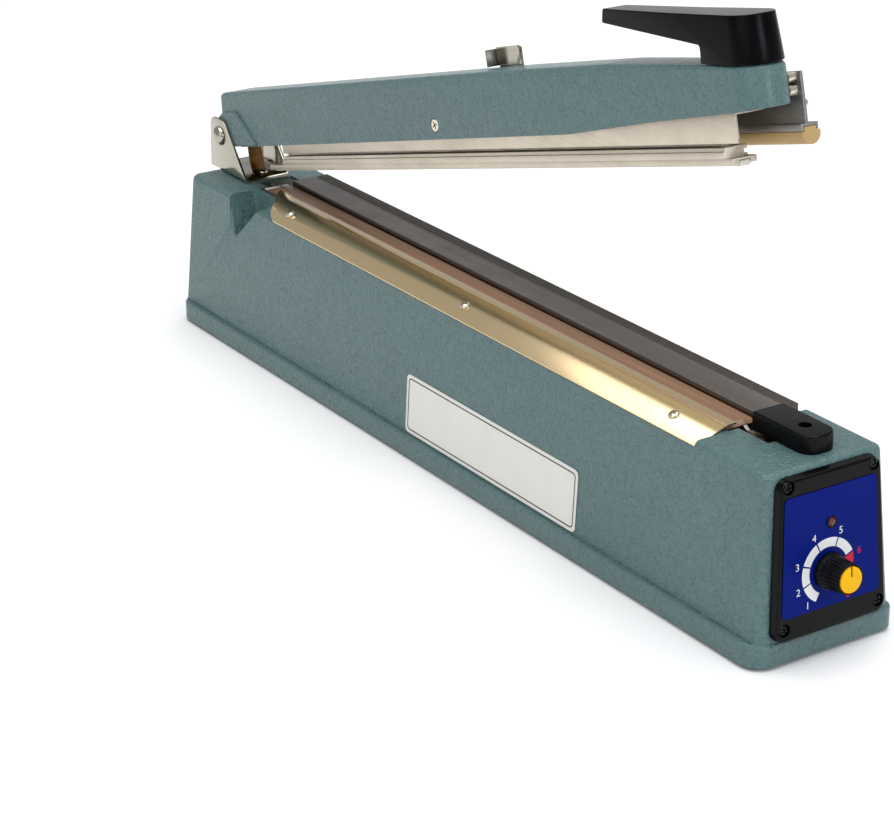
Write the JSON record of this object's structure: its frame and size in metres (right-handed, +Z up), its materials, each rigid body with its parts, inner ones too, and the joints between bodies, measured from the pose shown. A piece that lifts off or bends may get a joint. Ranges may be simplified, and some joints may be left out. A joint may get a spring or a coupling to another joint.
{
  "type": "impulse sealer",
  "caption": "Hand impulse bag sealer with a long cast arm standing open, sliding side cutter, chrome-edged sealing bed and a timer dial on its front end.",
  "frame": {"origin": "on the table, under the middle of the overall length and width", "axes": "+X towards the end with the timer panel and the handle, -Y the side with the label, +Z up"},
  "size_m": [0.5728, 0.084, 0.2864],
  "materials": {
    "hammered_teal": "hammertone stove enamel",
    "chrome": "bright plated",
    "milled_aluminium": "mill finish",
    "bed_aluminium": "brushed",
    "sheet_tan": "PTFE-coated glass cloth",
    "tape_white": "glass cloth tape",
    "nichrome": "drawn ribbon",
    "black_gloss": "gloss",
    "black_satin": "satin",
    "panel_blue": "printed film",
    "cap_yellow": "satin",
    "lamp_amber": "clear lens",
    "label_white": "satin film",
    "spring_bronze": "blued spring strip",
    "screw_steel": "zinc plated",
    "dark_steel": "dark plated",
    "foot_rubber": "matte",
    "silicone_white": "matte",
    "silicone_tan": "matte",
    "brass": "plain",
    "core_steel": "laminated",
    "coil_copper": "varnished winding with tape",
    "board_green": "circuit board",
    "switch_black": "moulded",
    "plate_steel": "galvanised sheet"
  },
  "bodies": {
    "base": {"base_casting": "hammered_teal", "bottom_cover": "plate_steel", "foot_rear_near": "foot_rubber", "foot_rear_far": "foot_rubber", "foot_front_near": "foot_rubber", "foot_front_far": "foot_rubber", "sealing_bed_bar": "bed_aluminium", "insulation_tape": "tape_white", "heating_element": "nichrome", "ptfe_sheet": "sheet_tan", "cover_strip": "chrome", "cover_strip_screw_rear": "screw_steel", "cover_strip_screw_middle": "screw_steel", "cover_strip_screw_front": "screw_steel", "bed_rail": "bed_aluminium", "front_terminal": "brass", "rear_terminal": "black_satin", "terminal_cover": "black_gloss", "terminal_cover_screw": "screw_steel", "hinge_bracket": "chrome", "hinge_pin": "chrome", "hinge_bracket_screw_near": "screw_steel", "hinge_bracket_screw_far": "screw_steel", "return_spring": "spring_bronze", "return_spring_screw": "screw_steel", "panel_bezel": "black_gloss", "dial_plate": "panel_blue", "panel_screw_top_near": "black_satin", "panel_screw_top_far": "black_satin", "panel_screw_low_near": "black_satin", "panel_screw_low_far": "black_satin", "indicator_lamp": "lamp_amber", "timer_potentiometer": "switch_black", "timer_board": "board_green", "transformer_core": "core_steel", "transformer_coil": "coil_copper", "microswitch": "switch_black", "cord_gland": "black_satin", "side_label": "label_white"},
    "arm": {"arm_casting": "hammered_teal", "arm_side_screw": "screw_steel", "handle": "black_satin", "handle_screw": "screw_steel", "beam_channel": "milled_aluminium", "cutter_rail": "milled_aluminium", "rail_screw": "screw_steel", "rail_spacer_front_upper": "screw_steel", "rail_spacer_front_lower": "screw_steel", "rail_spacer_rear": "screw_steel", "silicone_strip": "silicone_tan"},
    "press_bar": {"press_bar": "milled_aluminium", "press_bar_pad": "silicone_white", "guide_pin_rear": "screw_steel", "guide_pin_front": "screw_steel"},
    "cutter": {"cutter_carriage": "dark_steel", "cutter_thumb_plate": "chrome", "cutter_blade": "screw_steel"},
    "knob": {"timer_knob": "black_satin", "knob_cap": "cap_yellow"},
    "plunger": {"switch_plunger": "screw_steel"}
  },
  "joints": [
    {"name": "arm_hinge", "type": "hinge", "parent": "base", "child": "arm", "pos_m": [-0.27185, -0.0014, 0.1158], "axis": [0, 1, 0], "range_deg": [0, 14.7], "stiffness_Nm_per_rad": 10, "springref_deg": -34.38, "deforming": ["return_spring"]},
    {"name": "press_bar_float", "type": "slide", "parent": "arm", "child": "press_bar", "axis": [-0.2538, 0, 0.9673], "range_m": [0, 0.0034]},
    {"name": "switch_press", "type": "slide", "parent": "base", "child": "plunger", "axis": [0, 0, -1], "range_m": [0, 0.0022]},
    {"name": "cutter_slide", "type": "slide", "parent": "arm", "child": "cutter", "axis": [0.9659, 0, 0.2588], "range_m": [-0.17, 0.165]},
    {"name": "timer_knob_turn", "type": "hinge", "parent": "base", "child": "knob", "pos_m": [0.26988, -0.0025, 0.0436], "axis": [0.9972, 0, 0.0744], "range_deg": [-140, 140]}
  ],
  "couplings": [
    {"joint": "press_bar_float", "follows": "arm_hinge", "m_per_rad": 0.01286},
    {"joint": "switch_press", "follows": "arm_hinge", "m_per_rad": 0.008185}
  ]
}
